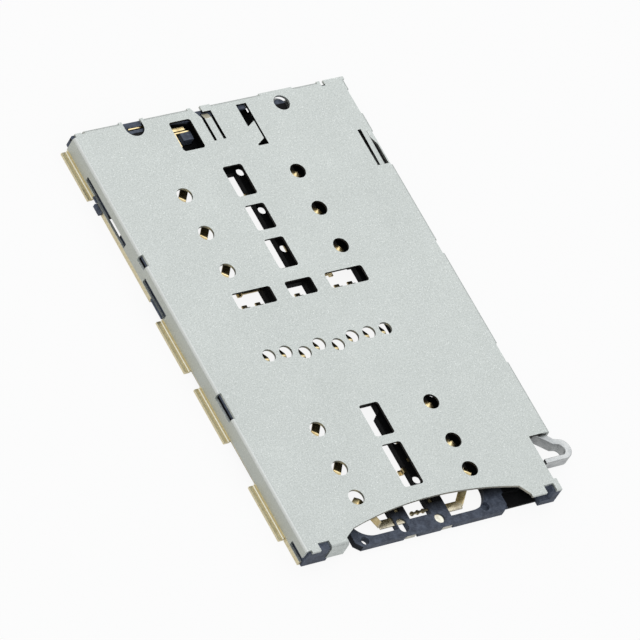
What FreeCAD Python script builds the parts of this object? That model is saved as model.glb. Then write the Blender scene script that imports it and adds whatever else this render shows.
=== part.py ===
import FreeCAD, Part
import math
import os
import re
import Sketcher

# Card socket for a phone board: one tray carries two SIM cards or a SIM and a memory card.
# +X to the right, +Y to the rear, the tray enters at -Y, Z = 0 is the board.
# The origin lies in the bar that holds the memory contacts, midway between the SIM columns.

SIZES = {
    # Stack
    "total_height": 1.35,  # board to the top of the cover
    "sheet_thick": 0.15,  # cover sheet
    "floor_thick": 0.40,  # moulded floor
    "side_gap": 0.01,  # housing to the start of a fold
    "join": 0.10,  # run of one moulded block into the next

    # Cover outline
    "cover_left": 8.35,  # centre to the outside of the left wall
    "cover_right": 9.77,  # centre to the outside of the right wall
    "cover_rear": 13.45,  # origin to the rear edge
    "cover_front": 14.32,  # origin to the front tongues
    "inner_bend": 0.05,  # inside radius of every fold
    "wall_low": 0.31,  # lower edge of the side walls above the board
    "skirt_low": 0.06,  # lower edge of the deeper stretches
    "wall_front": 14.16,  # front end of the left wall
    "wall_rear": 13.10,  # rear end of the left wall
    "step_y": 10.80,  # front end of the wide part
    "step_x": 8.32,  # right edge ahead of the step
    "flat_edge": 9.58,  # right edge where the wall is left out
    "skirt_front": -9.08,  # rear end of the deep stretch at the front
    "skirt_rear": 3.00,  # front end of the deep stretch at the rear
    "skirt_end": 8.80,  # rear end of the deep stretch at the rear
    "skirt_slit_a": -12.60,  # slit beside the front foot, front side
    "skirt_slit_b": -12.40,  # slit beside the front foot, rear side
    "slot_low": 0.40,  # slots in the left wall, lower edge
    "slot_high": 0.77,  # slots in the left wall, upper edge
    "wall_notch_low": 0.38,  # notch in the front end of the left wall
    "wall_notch_high": 0.75,  # notch in the front end of the left wall
    "wall_notch_y": -13.05,  # bottom of that notch
    "bend_window_low": 0.96,  # lower edge of the windows in the left fold
    "bend_window_in": 0.22,  # how far those windows reach into the top

    # Front edge
    "mouth_left": -4.90,  # left end of the finger arc
    "mouth_right": 6.05,  # right end of the finger arc
    "mouth_y": -13.50,  # ends of the finger arc
    "mouth_radius": 22.4,  # finger arc
    "mouth_flare": 0.45,  # slanted run beside the arc
    "mouth_dip": 0.62,  # slanted run at its right end, along Y
    "flap_left": -6.72,  # left side of the folded flap
    "flap_right": -5.60,  # right side of the folded flap
    "flap_low": 0.34,  # lower edge of the flap
    "tongue_left_a": -8.10,  # left tongue, left side
    "tongue_left_b": -7.45,  # left tongue, right side
    "tongue_right_b": 7.50,  # right tongue, right side
    "notch_y": -13.85,  # bottom of the notches beside the tongues
    "tab_a": 8.15,  # corner tab, left side
    "tab_b": 8.50,  # corner tab, right side
    "tab_rear": -13.60,  # corner tab, rear side
    "corner_edge": 13.33,  # rear edge beside the rear left corner
    "relief_a": -7.75,  # relief beside the first rear fold, left side
    "relief_y": 13.23,  # bottom of that relief

    # Cover windows
    "sim_x": 3.76,  # SIM contact columns, each side of the centre
    "sim_pitch": 2.54,  # SIM contact rows
    "rear_row": 8.20,  # first row of the rear card
    "front_row": -7.37,  # first row of the front card
    "front_last_row": -11.80,  # last row of the front card
    "sim_hole": 0.47,  # radius of the SIM windows
    "mem_pitch": 1.10,  # memory contact pitch
    "mem_first": -4.15,  # first memory contact
    "mem_row": -2.43,  # memory contact row
    "mem_step": 0.29,  # how far two of the contacts stand forward
    "mem_hole": 0.39,  # radius of the memory windows
    "rib_window_a": -0.65,  # rib windows, left side
    "rib_window_b": 0.62,  # rib windows, right side
    "window_round": 0.16,  # window corners
    "bar_window_front": 0.65,  # row of wide windows, front side
    "bar_window_rear": 1.68,  # row of wide windows, rear side
    "switch_window_a": -2.32,  # window over the card switch, left side
    "switch_window_b": -0.90,  # window over the card switch, right side
    "switch_window_front": 10.85,  # window over the card switch, front side
    "switch_window_rear": 12.80,  # window over the card switch, rear side
    "rear_notch_a": -5.05,  # round notch in the rear edge, left side
    "rear_notch_b": -3.85,  # round notch in the rear edge, right side
    "rear_notch_y": 13.00,  # bottom of the round notch
    "rear_notch_round": 0.60,  # radius of the round notch
    "lever_slit_a": 2.30,  # slit ahead of the lever bay, left side
    "lever_slit_b": 2.97,  # slit ahead of the lever bay, right side
    "lever_slit_front": 10.25,  # that slit, front end
    "lever_slit_rear": 13.05,  # that slit, rear end
    "lever_tab_reach": 0.55,  # tab that stands into the slit
    "lever_tab_front": 10.65,  # tab, front side
    "lever_tab_rear": 11.85,  # tab, rear side
    "lever_tab_slant": 0.30,  # slanted sides of the tab
    "corner_slit_a": 8.15,  # slit in the rear right corner, left side
    "corner_slit_b": 8.40,  # slit in the rear right corner, right side

    # Cover springs
    "ground_front": 11.12,  # root of the grounding tongue
    "ground_tip": 12.98,  # end of the grounding tongue
    "ground_a": 0.00,  # grounding tongue, left side
    "ground_b": 0.44,  # grounding tongue, right side
    "ground_knee": 12.62,  # where its end bends down
    "ground_drop": 0.14,  # how far its end bends down
    "ground_room": 0.05,  # housing cleared below and beside the tongue
    "ground_cut_a": -0.17,  # slit around the tongue, left side
    "ground_cut_b": 0.62,  # slit around the tongue, right side
    "ground_cut_rear": 13.05,  # slit around the tongue, rear side
    "ground_mouth_a": -0.55,  # where the slit leaves the rear edge, left side
    "ground_mouth_b": 0.10,  # where the slit leaves the rear edge, right side
    "ground_mouth_y": 12.70,  # where the slit widens
    "hold_root": 9.92,  # root of the hold-down finger
    "hold_tip": 7.52,  # free end of the hold-down finger
    "hold_a": 8.98,  # hold-down finger, left side
    "hold_b": 9.28,  # hold-down finger, right side
    "hold_gap": 0.02,  # hold-down finger to the push rod
    "hold_cut_a": 8.75,  # slit around the finger, left side
    "hold_cut_b": 9.50,  # slit around the finger, right side
    "hold_cut_tip": 0.05,  # slit ahead of the free end
    "hold_cut_wide": 8.80,  # rear end of the slit's wide part
    "hold_cut_slant": 0.50,  # slanted end of the wide part

    # Solder feet
    "foot_reach": 0.30,  # how far a foot stands out
    "foot_round": 0.08,  # inside radius of a foot's fold

    # Housing
    "housing_front": 14.27,  # origin to the front faces
    "block_left": 6.56,  # tray slot, left side
    "block_right": 7.49,  # tray slot, right side
    "corner_right": 8.60,  # right side of the right corner block
    "corner_depth": 0.72,  # depth of the right corner block
    "corner_post": 8.05,  # left side of that block's tall front part
    "corner_bevel": 0.12,  # bevel of its front edge
    "bay_y": -13.20,  # bottom of the bay behind the flap
    "bar_left": -4.60,  # front bar, left end
    "bar_right": 5.45,  # front bar, right end
    "bar_chamfer": 0.34,  # corners of the front bar
    "sill_y": -14.02,  # front of the low sill
    "sill_thick": 0.15,  # height of the low sill
    "tray_stop": 11.05,  # face that the tray meets
    "rear_corner": 0.50,  # chamfer of the rear corner of the floor
    "corner_post_x": 8.30,  # rear left corner post, outer side
    "corner_post_in": 7.80,  # rear left corner post, inner side
    "rear_lug_a": -5.15,  # lug below the round rear notch, left side
    "rear_lug_b": -3.75,  # lug below the round rear notch, right side
    "rear_lug_y": 13.40,  # rear side of that lug
    "channel_front": -10.10,  # front end of the rod channel
    "channel_outer": 9.36,  # outer side of the rod channel
    "rail_rear": 10.20,  # rear end of the rail beside the rod
    "lever_bay_left": 2.05,  # lever bay, left side
    "lever_bay_rear": 12.82,  # lever bay, rear side
    "bay_open_left": 2.90,  # left end of the bay's opening to the rear
    "bay_hole_a": 3.50,  # see-through hole at the rear of the bay, left side
    "bay_hole_b": 3.88,  # see-through hole at the rear of the bay, right side
    "bay_hole_front": 12.98,  # see-through hole at the rear of the bay, front side
    "pivot_clear": 1.05,  # half width of the gap behind the pivot
    "rail_lag": 0.90,  # outer rail past the rear end of the inner one
    "corner_inset": 0.20,  # rear right block inside the floor's edge
    "flap_room": 0.04,  # room around the flap
    "side_notch_a": 7.15,  # notch in the left edge, front side
    "side_notch_b": 8.50,  # notch in the left edge, rear side
    "side_notch_deep": 0.45,  # depth of the notch in the left edge
    "lug_front": 8.82,  # lug below the left wall, front side
    "lug_rear": 9.45,  # lug below the left wall, rear side
    "lug_reach": 0.16,  # lug past the wall
    "tail_notch_deep": 0.30,  # depth of the notches in the front bar

    # Floor openings
    "rib_left_a": -1.66,  # left rib, outer side
    "rib_left_b": -0.67,  # left rib, inner side
    "rib_right_a": 0.76,  # right rib, inner side
    "rib_right_b": 1.84,  # right rib, outer side
    "rib_neck": 0.34,  # how much the right rib narrows at a bar
    "open_left": -4.35,  # outer openings, left side
    "open_right": 4.32,  # outer openings, right side
    "open_wide": 0.24,  # extra width of the right opening near a bar
    "rear_floor": 9.45,  # front edge of the rear floor
    "lead_room": 0.08,  # floor cleared beside a lead or an arm
    "cross_front": 1.98,  # short bar between the ribs, front side
    "cross_rear": 3.05,  # short bar between the ribs, rear side
    "anchor_half": 1.13,  # half depth of the memory contact bar
    "mem_open_front": -3.60,  # memory opening, front side
    "mem_open_half": 4.66,  # memory opening, half width
    "front_open_rear": -6.09,  # centre front opening, rear side
    "front_open_front": -13.76,  # outer front openings, front side
    "centre_open_front": -13.34,  # centre front opening, front side
    "finger_round": 1.25,  # round corners of the outer front openings
    "punch_radius": 0.25,  # punched holes in the right rib
    "punch_sink": 0.45,  # wider hole below each punched hole
    "punch_skin": 0.12,  # floor left over the wider hole
    "punch_x": 1.02,  # line of the punched holes
    "punch_lift": 1.23,  # punched holes, distance from a contact row
    "punch_pitch": 2.60,  # pitch of the punched holes
    "open_step": 0.30,  # short steps of the openings
    "finger_notch": 0.60,  # side notch of the right front opening
    "neck_run": 0.61,  # length of the narrow part of the right rib
    "corner_hole_x": 4.80,  # small hole beside the memory contacts
    "corner_hole_y": -6.42,  # small hole beside the memory contacts
    "small_hole": 0.24,  # radius of the small holes
    "bar_hole_x": -3.95,  # small hole in the front bar
    "bar_hole_y": -13.93,  # small hole in the front bar
    "bar_slot_a": -1.58,  # slot in the front bar, left side
    "bar_slot_b": -0.98,  # slot in the front bar, right side
    "bar_slot_front": -14.02,  # slot in the front bar, front side
    "bar_slot_rear": -13.16,  # slot in the front bar, rear side
    "bar_slot_round": 0.28,  # corners of that slot
    "bar_round_x": 1.08,  # round hole in the front bar
    "bar_round_y": -13.72,  # round holes in the front bar
    "bar_round": 0.30,  # radius of the round hole
    "blind_x": 4.10,  # blind hole in the front bar
    "blind_radius": 0.27,  # radius of the blind hole

    # Contacts
    "contact_thick": 0.10,  # contact strip
    "sim_width": 0.45,  # SIM contact arm
    "mem_width": 0.32,  # memory contact arm
    "lead_z": 0.22,  # underside of the leads in the floor
    "tip_height": 1.00,  # top of a free contact
    "tip_round": 0.30,  # radius of the contact tip
    "tip_tail": 0.22,  # run past the tip
    "stub": 0.28,  # lead outside its rib
    "long_stub": 0.97,  # the same in the front card's last row
    "long_root": -13.21,  # middle of those leads, along Y
    "long_width": 0.50,  # width of those leads
    "bent_tip_in": 0.26,  # last left tip of the front card, nearer to the centre
    "bent_tip_front": 0.15,  # the same tip, further forward
    "toe_front": -14.25,  # front face of the last row's tails
    "toe_back": -13.99,  # rear end of those tails
    "toe_run": 0.19,  # wide front part of those leads
    "lobe_y": -13.02,  # lobed strip in the centre opening, along Y
    "lobe_end": -0.30,  # centre of its last lobe
    "lobe_pitch": 0.36,  # pitch of its lobes
    "lobe_radius": 0.13,  # lobe
    "lobe_neck": 0.12,  # width between the lobes
    "sim_back": 2.20,  # root of an arm behind its tip
    "tail_reach": 0.34,  # solder tail past its rib
    "bus_width": 0.30,  # part of a lead that runs along its rib
    "side_tail_y": 2.23,  # side tails of the rear card's last row
    "side_tail_reach": 1.25,  # side tail past its rib
    "front_tail_y": -10.42,  # tails of the front card's middle row
    "mem_tail_pitch": 0.875,  # pitch of the memory tails
    "mem_tail_first": -3.885,  # first memory tail
    "mem_stub": 0.12,  # memory lead ahead of its bar

    # Card switch
    "switch_thick": 0.10,  # switch strips
    "switch_high": 0.60,  # height of the switch strips
    "switch_end": -1.28,  # free end of the switch spring
    "switch_root": -4.75,  # held end of the switch spring
    "switch_root_y": 13.02,  # held end, distance from the origin
    "switch_end_y": 12.50,  # free end, distance from the origin
    "switch_bend": -3.60,  # where the spring leaves its slot
    "switch_lip": 0.25,  # thickness of the spring's folded end
    "switch_lip_x": -2.20,  # where the folded end starts
    "switch_play": 0.09,  # room beside the switch spring
    "fixed_x": -2.05,  # fixed switch contact, long leg
    "fixed_front": 11.35,  # fixed switch contact, front end
    "fixed_rear": 12.27,  # fixed switch contact, short leg
    "fixed_end": -1.05,  # fixed switch contact, right end
    "switch_room_a": -2.55,  # room of the switch, left side
    "switch_room_b": -0.60,  # room of the switch, right side
    "switch_room_front": 10.75,  # room of the switch, front side
    "switch_post_a": -1.72,  # post between the strips, left side
    "switch_post_front": 11.72,  # post between the strips, front side

    # Eject lever and push rod
    "pivot_x": 5.15,  # lever pivot
    "pivot_y": 12.60,  # lever pivot
    "pivot_radius": 0.40,  # pivot post
    "pivot_play": 0.04,  # post to lever, on the radius
    "pivot_hole": 0.49,  # hole in the cover above the post
    "pivot_gap": 0.10,  # post to the cover's underside
    "lever_seat": 0.10,  # collar under the lever
    "lever_thick": 0.40,  # lever plate
    "lever_eye": 0.64,  # radius of the eye
    "lever_arm": 4.00,  # pivot to the nose that meets the rod
    "lever_drop": 0.21,  # nose ahead of the pivot at rest
    "nose_radius": 0.30,  # nose
    "kick_x": -1.65,  # pivot to the tip that kicks the tray
    "kick_y": -2.90,  # pivot to the tip that kicks the tray
    "kick_radius": 0.34,  # tip
    "rod_x": 9.05,  # middle of the rod
    "rod_thick": 0.40,  # rod strip
    "rod_lift": 0.02,  # rod above the floor
    "rod_high": 0.68,  # height of the rod strip
    "rod_gap": 0.05,  # rod to the lever's nose
    "rod_bend": -10.55,  # where the rod turns outwards
    "head_reach": 10.12,  # loop of the head, right end of its straight sides
    "head_rear": -11.28,  # loop of the head, rear side
    "head_front": -12.50,  # loop of the head, front side
    "head_left": 8.66,  # left end of the head
    "head_round": 0.64,  # outside radius of the loop
    "head_thick": 0.29,  # head strip
    "head_lag": 0.11,  # slant of the two ends of the bend
    "loop_in": 0.42,  # start of the loop's inner round, along X
    "loop_drop": 0.22,  # start of the loop's inner round, along Y
    "loop_side": 0.12,  # inside of the loop, along X
    "loop_slant": 0.25,  # outer slant where the loop starts
}

# Stretches along one axis: each pair is a start and an end.
SPANS = [
    ("rib_window", "windows over the ribs, along Y",
     [(7.38, 9.40), (5.08, 6.75), (2.52, 4.47), (-8.65, -6.60), (-11.95, -9.20)]),
    ("bar_window", "wide windows in one row, along X", [(-4.35, -1.83), (-0.87, 0.87), (1.78, 4.28)]),
    ("left_foot", "solder feet of the left wall, along Y",
     [(9.85, 13.05), (-1.65, 1.70), (-6.25, -2.75), (-12.55, -9.08)]),
    ("right_foot", "solder feet of the right wall, along Y", [(2.60, 5.80), (-4.60, -1.40), (-10.30, -7.00)]),
    ("rear_wall", "folded stretches of the rear edge, along X",
     [(-7.50, -5.25), (-3.65, -0.75), (0.75, 4.05), (6.25, 7.95)]),
    ("wall_slot", "slots in the left wall, along Y", [(6.35, 10.90), (1.60, 4.10)]),
    ("bend_window", "windows in the left fold, along Y", [(4.45, 5.20), (-5.60, -3.95)]),
    ("right_gap", "stretches without a right wall, along Y",
     [(-6.15, -4.80), (1.25, 2.20), (7.35, 9.72), (10.90, 12.62)]),
    ("tail_notch", "notches in the front bar, along X", [(-1.43, -0.56), (1.02, 1.76)]),
    ("toe", "tails in those notches, along X", [(-1.31, -0.70), (1.08, 1.70)]),
    ("runner", "leads from the last row to those tails, along X", [(-0.95, -0.70), (0.80, 1.38)]),
    ("pit_across", "pits over the leads in the ribs, along X", [(-1.33, -1.03), (0.96, 1.26), (1.02, 1.34)]),
    ("pit_along", "the same pits, along Y", [(-12.76, -12.52), (-12.70, -12.44), (-10.05, -9.77)]),
]

document = FreeCAD.newDocument("CardSocket")
sheet = document.addObject("Spreadsheet::Sheet", "Sizes")


def span_rows():
    """The stretches as rows of the sheet: rib_window_start_1, rib_window_end_1 and so on."""
    for name, _, pairs in SPANS:
        for count, (start, end) in enumerate(pairs, 1):
            yield "%s_start_%d" % (name, count), start
            yield "%s_end_%d" % (name, count), end


def spans(wanted):
    """The sheet names of the two ends of each stretch of one kind."""
    for name, _, pairs in SPANS:
        if name == wanted:
            return [("%s_start_%d" % (name, n), "%s_end_%d" % (name, n)) for n in range(1, len(pairs) + 1)]


def fill_sheet():
    """Write one row for each size: its name in words and its value."""
    for row, (alias, value) in enumerate(list(SIZES.items()) + list(span_rows()), 1):
        sheet.set("A%d" % row, alias.replace("_", " "))
        sheet.set("B%d" % row, str(value))
        sheet.setAlias("B%d" % row, alias)
    document.recompute()


FUNCTIONS = ("sin", "cos", "tan", "atan", "sqrt", "abs")


def linked(formula):
    """Write a formula of sheet names the way another object reads it."""
    def prefix(match):
        word = match.group(0)
        return word if word in FUNCTIONS else "Sizes." + word
    return re.sub(r"[a-z_][a-z_0-9]*", prefix, str(formula))


def number(formula):
    """Work out a formula of sheet names."""
    result = sheet.evalExpression(str(formula))
    return float(getattr(result, "Value", result))


def new_body(label):
    body = document.addObject("PartDesign::Body", label)
    body.Label = label
    return body


def origin_plane(body, role):
    for feature in body.Origin.OriginFeatures:
        if feature.Role == role:
            return feature


def new_sketch(body, role, name, height="0", turn=0.0):
    """A sketch parallel to an origin plane, moved along its normal and turned about its own Y."""
    sketch = body.newObject("Sketcher::SketchObject", name)
    sketch.AttachmentSupport = [(origin_plane(body, role), "")]
    sketch.MapMode = "FlatFace"
    turned = FreeCAD.Rotation(FreeCAD.Vector(0, 1, 0), turn)
    start = FreeCAD.Vector(0, 0, number(height))
    sketch.AttachmentOffset = FreeCAD.Placement(start, turned)
    if str(height) != "0":
        sketch.setExpression("AttachmentOffset.Base.z", linked(height))
    return sketch


def pin(sketch, constraints, bindings, element, end, across, along):
    """Hold one point of the sketch at two formulas."""
    for kind, formula in (("DistanceX", across), ("DistanceY", along)):
        bindings.append((len(constraints), formula))
        constraints.append(Sketcher.Constraint(kind, -1, 1, element, end, number(formula)))


def apply(sketch, constraints, bindings):
    """Add the constraints and tie each measured one to its formula."""
    first = sketch.ConstraintCount
    sketch.addConstraint(constraints)
    for index, formula in bindings:
        sketch.setExpression("Constraints[%d]" % (first + index), linked(formula))


def arc_between(start, end, radius):
    """The short arc between two points: it turns left for a positive radius, right for a negative."""
    chord = end - start
    height = math.sqrt(max(radius * radius - chord.Length * chord.Length / 4, 0))
    left = FreeCAD.Vector(-chord.y, chord.x, 0).normalize()
    centre = (start + end) * 0.5 + left * math.copysign(height, radius)
    circle = Part.Circle(centre, FreeCAD.Vector(0, 0, 1), abs(radius))
    first, last = (start, end) if radius > 0 else (end, start)
    angles = [math.atan2(p.y - centre.y, p.x - centre.x) for p in (first, last)]
    if angles[1] < angles[0]:
        angles[1] += 2 * math.pi
    return Part.ArcOfCircle(circle, angles[0], angles[1])


def draw(sketch, corners):
    """Draw a closed outline. A corner is (x, y), or (x, y, radius) where an arc leads on from it."""
    points = [FreeCAD.Vector(number(c[0]), number(c[1]), 0) for c in corners]
    constraints = []
    bindings = []
    elements = []
    for index, corner in enumerate(corners):
        start = points[index]
        end = points[(index + 1) % len(points)]
        if len(corner) == 3:
            radius = number(corner[2])
            element = sketch.addGeometry(arc_between(start, end, radius), False)
            ends = (1, 2) if radius > 0 else (2, 1)
            bindings.append((len(constraints), "abs(%s)" % corner[2]))
            constraints.append(Sketcher.Constraint("Radius", element, abs(radius)))
        else:
            element = sketch.addGeometry(Part.LineSegment(start, end), False)
            ends = (1, 2)
        elements.append((element, ends))
        pin(sketch, constraints, bindings, element, ends[0], corner[0], corner[1])
    for index, (element, ends) in enumerate(elements):
        after, after_ends = elements[(index + 1) % len(elements)]
        constraints.append(Sketcher.Constraint("Coincident", element, ends[1], after, after_ends[0]))
    apply(sketch, constraints, bindings)


def draw_box(sketch, left, right, low, high):
    draw(sketch, [(left, low), (right, low), (right, high), (left, high)])


def draw_window(sketch, left, right, low, high, radius):
    """A rectangle with four round corners."""
    inset_left = "%s + %s" % (left, radius)
    inset_right = "%s - %s" % (right, radius)
    inset_low = "%s + %s" % (low, radius)
    inset_high = "%s - %s" % (high, radius)
    draw(sketch, [
        (inset_left, low), (inset_right, low, radius),
        (right, inset_low), (right, inset_high, radius),
        (inset_right, high), (inset_left, high, radius),
        (left, inset_high), (left, inset_low, radius),
    ])


def draw_circle(sketch, across, along, radius):
    centre = FreeCAD.Vector(number(across), number(along), 0)
    circle = Part.Circle(centre, FreeCAD.Vector(0, 0, 1), number(radius))
    element = sketch.addGeometry(circle, False)
    constraints = [Sketcher.Constraint("Radius", element, number(radius))]
    bindings = [(0, radius)]
    pin(sketch, constraints, bindings, element, 3, across, along)
    apply(sketch, constraints, bindings)


def pad(body, sketch, name, length, backwards=False, both_ways=False):
    feature = body.newObject("PartDesign::Pad", name)
    feature.Profile = sketch
    feature.setExpression("Length", linked(length))
    feature.Reversed = backwards
    feature.Refine = False
    if both_ways:
        feature.SideType = "Symmetric"
    return feature


def pocket(body, sketch, name, length=None, backwards=False):
    """Cut along the sketch's normal, away from it by default, through everything if no length is given."""
    feature = body.newObject("PartDesign::Pocket", name)
    feature.Profile = sketch
    feature.Reversed = backwards
    feature.Refine = False
    if length is None:
        feature.Type = "ThroughAll"
    else:
        feature.setExpression("Length", linked(length))
    return feature


# Names for places that several pieces share

UNDERSIDE = "total_height - sheet_thick"
FOLD = "(inner_bend + sheet_thick)"
HOUSING_LEFT = "-(cover_left - sheet_thick - inner_bend - side_gap)"
HOUSING_RIGHT = "(cover_right - sheet_thick - inner_bend - side_gap)"
HOUSING_REAR = "(cover_rear - sheet_thick - inner_bend - side_gap)"
HOUSING_FRONT = "-housing_front"
SIM_ROWS = {
    "rear": ["rear_row", "rear_row - sim_pitch", "rear_row - 2 * sim_pitch"],
    "front": ["front_row", "front_row - sim_pitch", "front_last_row"],
}
MEMORY_COUNT = 8
FORWARD_MEMORY = (3, 5)
MEMORY_TAIL_STEPS = (0, 1, 2, 4, 5, 7, 8, 9)


def memory_place(count):
    """Centre of one memory contact's window, counted from 1."""
    across = "mem_first + %d * mem_pitch" % (count - 1)
    along = "mem_row - mem_step" if count in FORWARD_MEMORY else "mem_row"
    return across, along


def folded_section(sketch, side, edge, low):
    """Half of the folded sheet seen from the front: flat top, fold and wall."""
    inside = "%s * (%s - sheet_thick)" % (side, edge)
    bend = "%s * (%s - %s)" % (side, edge, FOLD)
    outside = "%s * %s" % (side, edge)
    start = "total_height - " + FOLD
    draw(sketch, [
        ("0", "total_height"), (bend, "total_height", "-(%s) * %s" % (side, FOLD)),
        (outside, start), (outside, low), (inside, low),
        (inside, start, "%s * inner_bend" % side),
        (bend, UNDERSIDE), ("0", UNDERSIDE),
    ])


def make_cover():
    """One sheet: stamped windows, folded walls, solder feet and two cut springs."""
    body = new_body("shell_cover")
    fold_end = "(cover_rear - %s)" % FOLD
    for side, edge, low, name in (("-1", "cover_left", "skirt_low", "left"),
                                  ("1", "cover_right", "wall_low", "right")):
        section = new_sketch(body, "XZ_Plane", name + "_section", "cover_front")
        folded_section(section, side, edge, low)
        pad(body, section, name + "_sheet", "cover_front + " + fold_end, backwards=True)

    rear = new_sketch(body, "XY_Plane", "rear_edge_plan", UNDERSIDE)
    draw_box(rear, "-cover_left", "cover_right", fold_end, "cover_rear")
    pad(body, rear, "rear_edge", "sheet_thick")

    trim_walls(body)
    trim_front(body)
    fold_down(body)
    add_feet(body)
    stamp_windows(body)
    cut_springs(body)
    return body


def trim_walls(body):
    """Give the side walls their steps, slots, bend windows and gaps."""
    inside = "-(cover_left - 2 * sheet_thick - inner_bend)"
    below = "-sheet_thick"
    high = "total_height + 1"
    left = new_sketch(body, "YZ_Plane", "left_wall_cuts", inside)
    draw_box(left, "skirt_front", "skirt_rear", below, "wall_low")
    draw_box(left, "skirt_end", "cover_rear + 1", below, "wall_low")
    draw_box(left, "skirt_slit_a", "skirt_slit_b", below, "wall_low")
    for front, rear in spans("wall_slot"):
        draw_box(left, front, rear, "slot_low", "slot_high")
    pocket(body, left, "left_wall_trim")

    ends = new_sketch(body, "YZ_Plane", "left_wall_ends", inside)
    far = "-cover_front - 1"
    draw(ends, [
        (far, below), ("-wall_front", below), ("-wall_front", "wall_notch_low"),
        ("wall_notch_y", "wall_notch_low"), ("wall_notch_y", "wall_notch_high"),
        ("-wall_front", "wall_notch_high"), ("-wall_front", high), (far, high),
    ])
    draw_box(ends, "wall_rear", "cover_rear + 1", below, "total_height - " + FOLD)
    pocket(body, ends, "left_wall_end_trim")

    bends = new_sketch(body, "YZ_Plane", "bend_windows", "-(cover_left - bend_window_in)")
    for front, rear in spans("bend_window"):
        draw_box(bends, front, rear, "bend_window_low", high)
    pocket(body, bends, "left_bend_windows")

    right = new_sketch(body, "YZ_Plane", "right_wall_gaps", "flat_edge")
    for front, rear in spans("right_gap"):
        draw_box(right, front, rear, below, high)
    pocket(body, right, "right_wall_trim", backwards=True)


def trim_front(body):
    """Cut the step beside the push rod, the finger arc and the notches beside the tongues."""
    plan = new_sketch(body, "XY_Plane", "front_cuts")
    far = "-cover_front - 1"
    draw(plan, [
        ("step_x", "-step_y"), ("step_x", "tab_rear"), ("tab_b", "tab_rear"), ("tab_b", far),
        ("cover_right + 1", far), ("cover_right + 1", "-step_y"),
    ])
    draw(plan, [
        ("flap_right", far), ("mouth_right + mouth_flare", far),
        ("mouth_right + mouth_flare", "mouth_y - mouth_dip"), ("mouth_right", "mouth_y", "mouth_radius"),
        ("mouth_left", "mouth_y"), ("flap_right", "mouth_y - mouth_flare"),
    ])
    draw_box(plan, "tongue_right_b", "tab_a", far, "notch_y")
    draw_box(plan, "tongue_left_b", "flap_left", far, "notch_y")
    draw_box(plan, "flap_left", "flap_right", far, "-cover_front + " + FOLD)
    draw_box(plan, "-cover_left - 1", "tongue_left_a", far, "-wall_front")
    pocket(body, plan, "front_trim", backwards=True)


def edge_fold(sketch, edge, inward, low):
    """A fold at the front or rear edge seen from the side. Inward is 1 or -1 along Y."""
    inside = "%s + (%s) * sheet_thick" % (edge, inward)
    bend = "%s + (%s) * %s" % (edge, inward, FOLD)
    start = "total_height - " + FOLD
    draw(sketch, [
        (bend, "total_height", "%s * %s" % (inward, FOLD)),
        (edge, start), (edge, low), (inside, low),
        (inside, start, "-(%s) * inner_bend" % inward),
        (bend, UNDERSIDE),
    ])


def fold_down(body):
    """Fold the flap at the front edge and the walls at the rear edge."""
    flap = new_sketch(body, "YZ_Plane", "flap_fold", "flap_left")
    edge_fold(flap, "-cover_front", "1", "flap_low")
    pad(body, flap, "flap", "flap_right - flap_left")
    corners = new_sketch(body, "XY_Plane", "rear_corners", UNDERSIDE)
    for left, right in spans("rear_wall"):
        draw_box(corners, left, right, "cover_rear - " + FOLD, "cover_rear + 1")
    pocket(body, corners, "rear_corner_cuts", "sheet_thick", backwards=True)
    for count, (left, right) in enumerate(spans("rear_wall"), 1):
        wall = new_sketch(body, "YZ_Plane", "rear_fold_%d" % count, left)
        edge_fold(wall, "cover_rear", "-1", "wall_low")
        pad(body, wall, "rear_wall_%d" % count, "%s - %s" % (right, left))


def foot_section(sketch, side, edge):
    """A solder foot seen from the front: the wall turns outwards onto the board."""
    wall_out = "%s * %s" % (side, edge)
    wall_in = "%s * (%s - sheet_thick)" % (side, edge)
    turn = "foot_round + sheet_thick"
    draw(sketch, [
        (wall_in, "wall_low + sheet_thick"), (wall_in, turn, "-(%s) * (%s)" % (side, "-1 * (%s)" % turn)),
        ("%s + %s * (%s)" % (wall_in, side, turn), "0"),
        ("%s * (%s + foot_reach)" % (side, edge), "0"),
        ("%s * (%s + foot_reach)" % (side, edge), "sheet_thick"),
        ("%s + %s * foot_round" % (wall_out, side), "sheet_thick", "-(%s) * foot_round" % side),
        (wall_out, turn), (wall_out, "wall_low + sheet_thick"),
    ])


def add_feet(body):
    """Solder feet along both side walls."""
    for side, edge, name in (("-1", "cover_left", "left_foot"), ("1", "cover_right", "right_foot")):
        for count, (front, rear) in enumerate(spans(name), 1):
            section = new_sketch(body, "XZ_Plane", "%s_section_%d" % (name, count), "-" + front)
            foot_section(section, side, edge)
            pad(body, section, "%s_%d" % (name, count), "%s - %s" % (rear, front), backwards=True)


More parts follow.
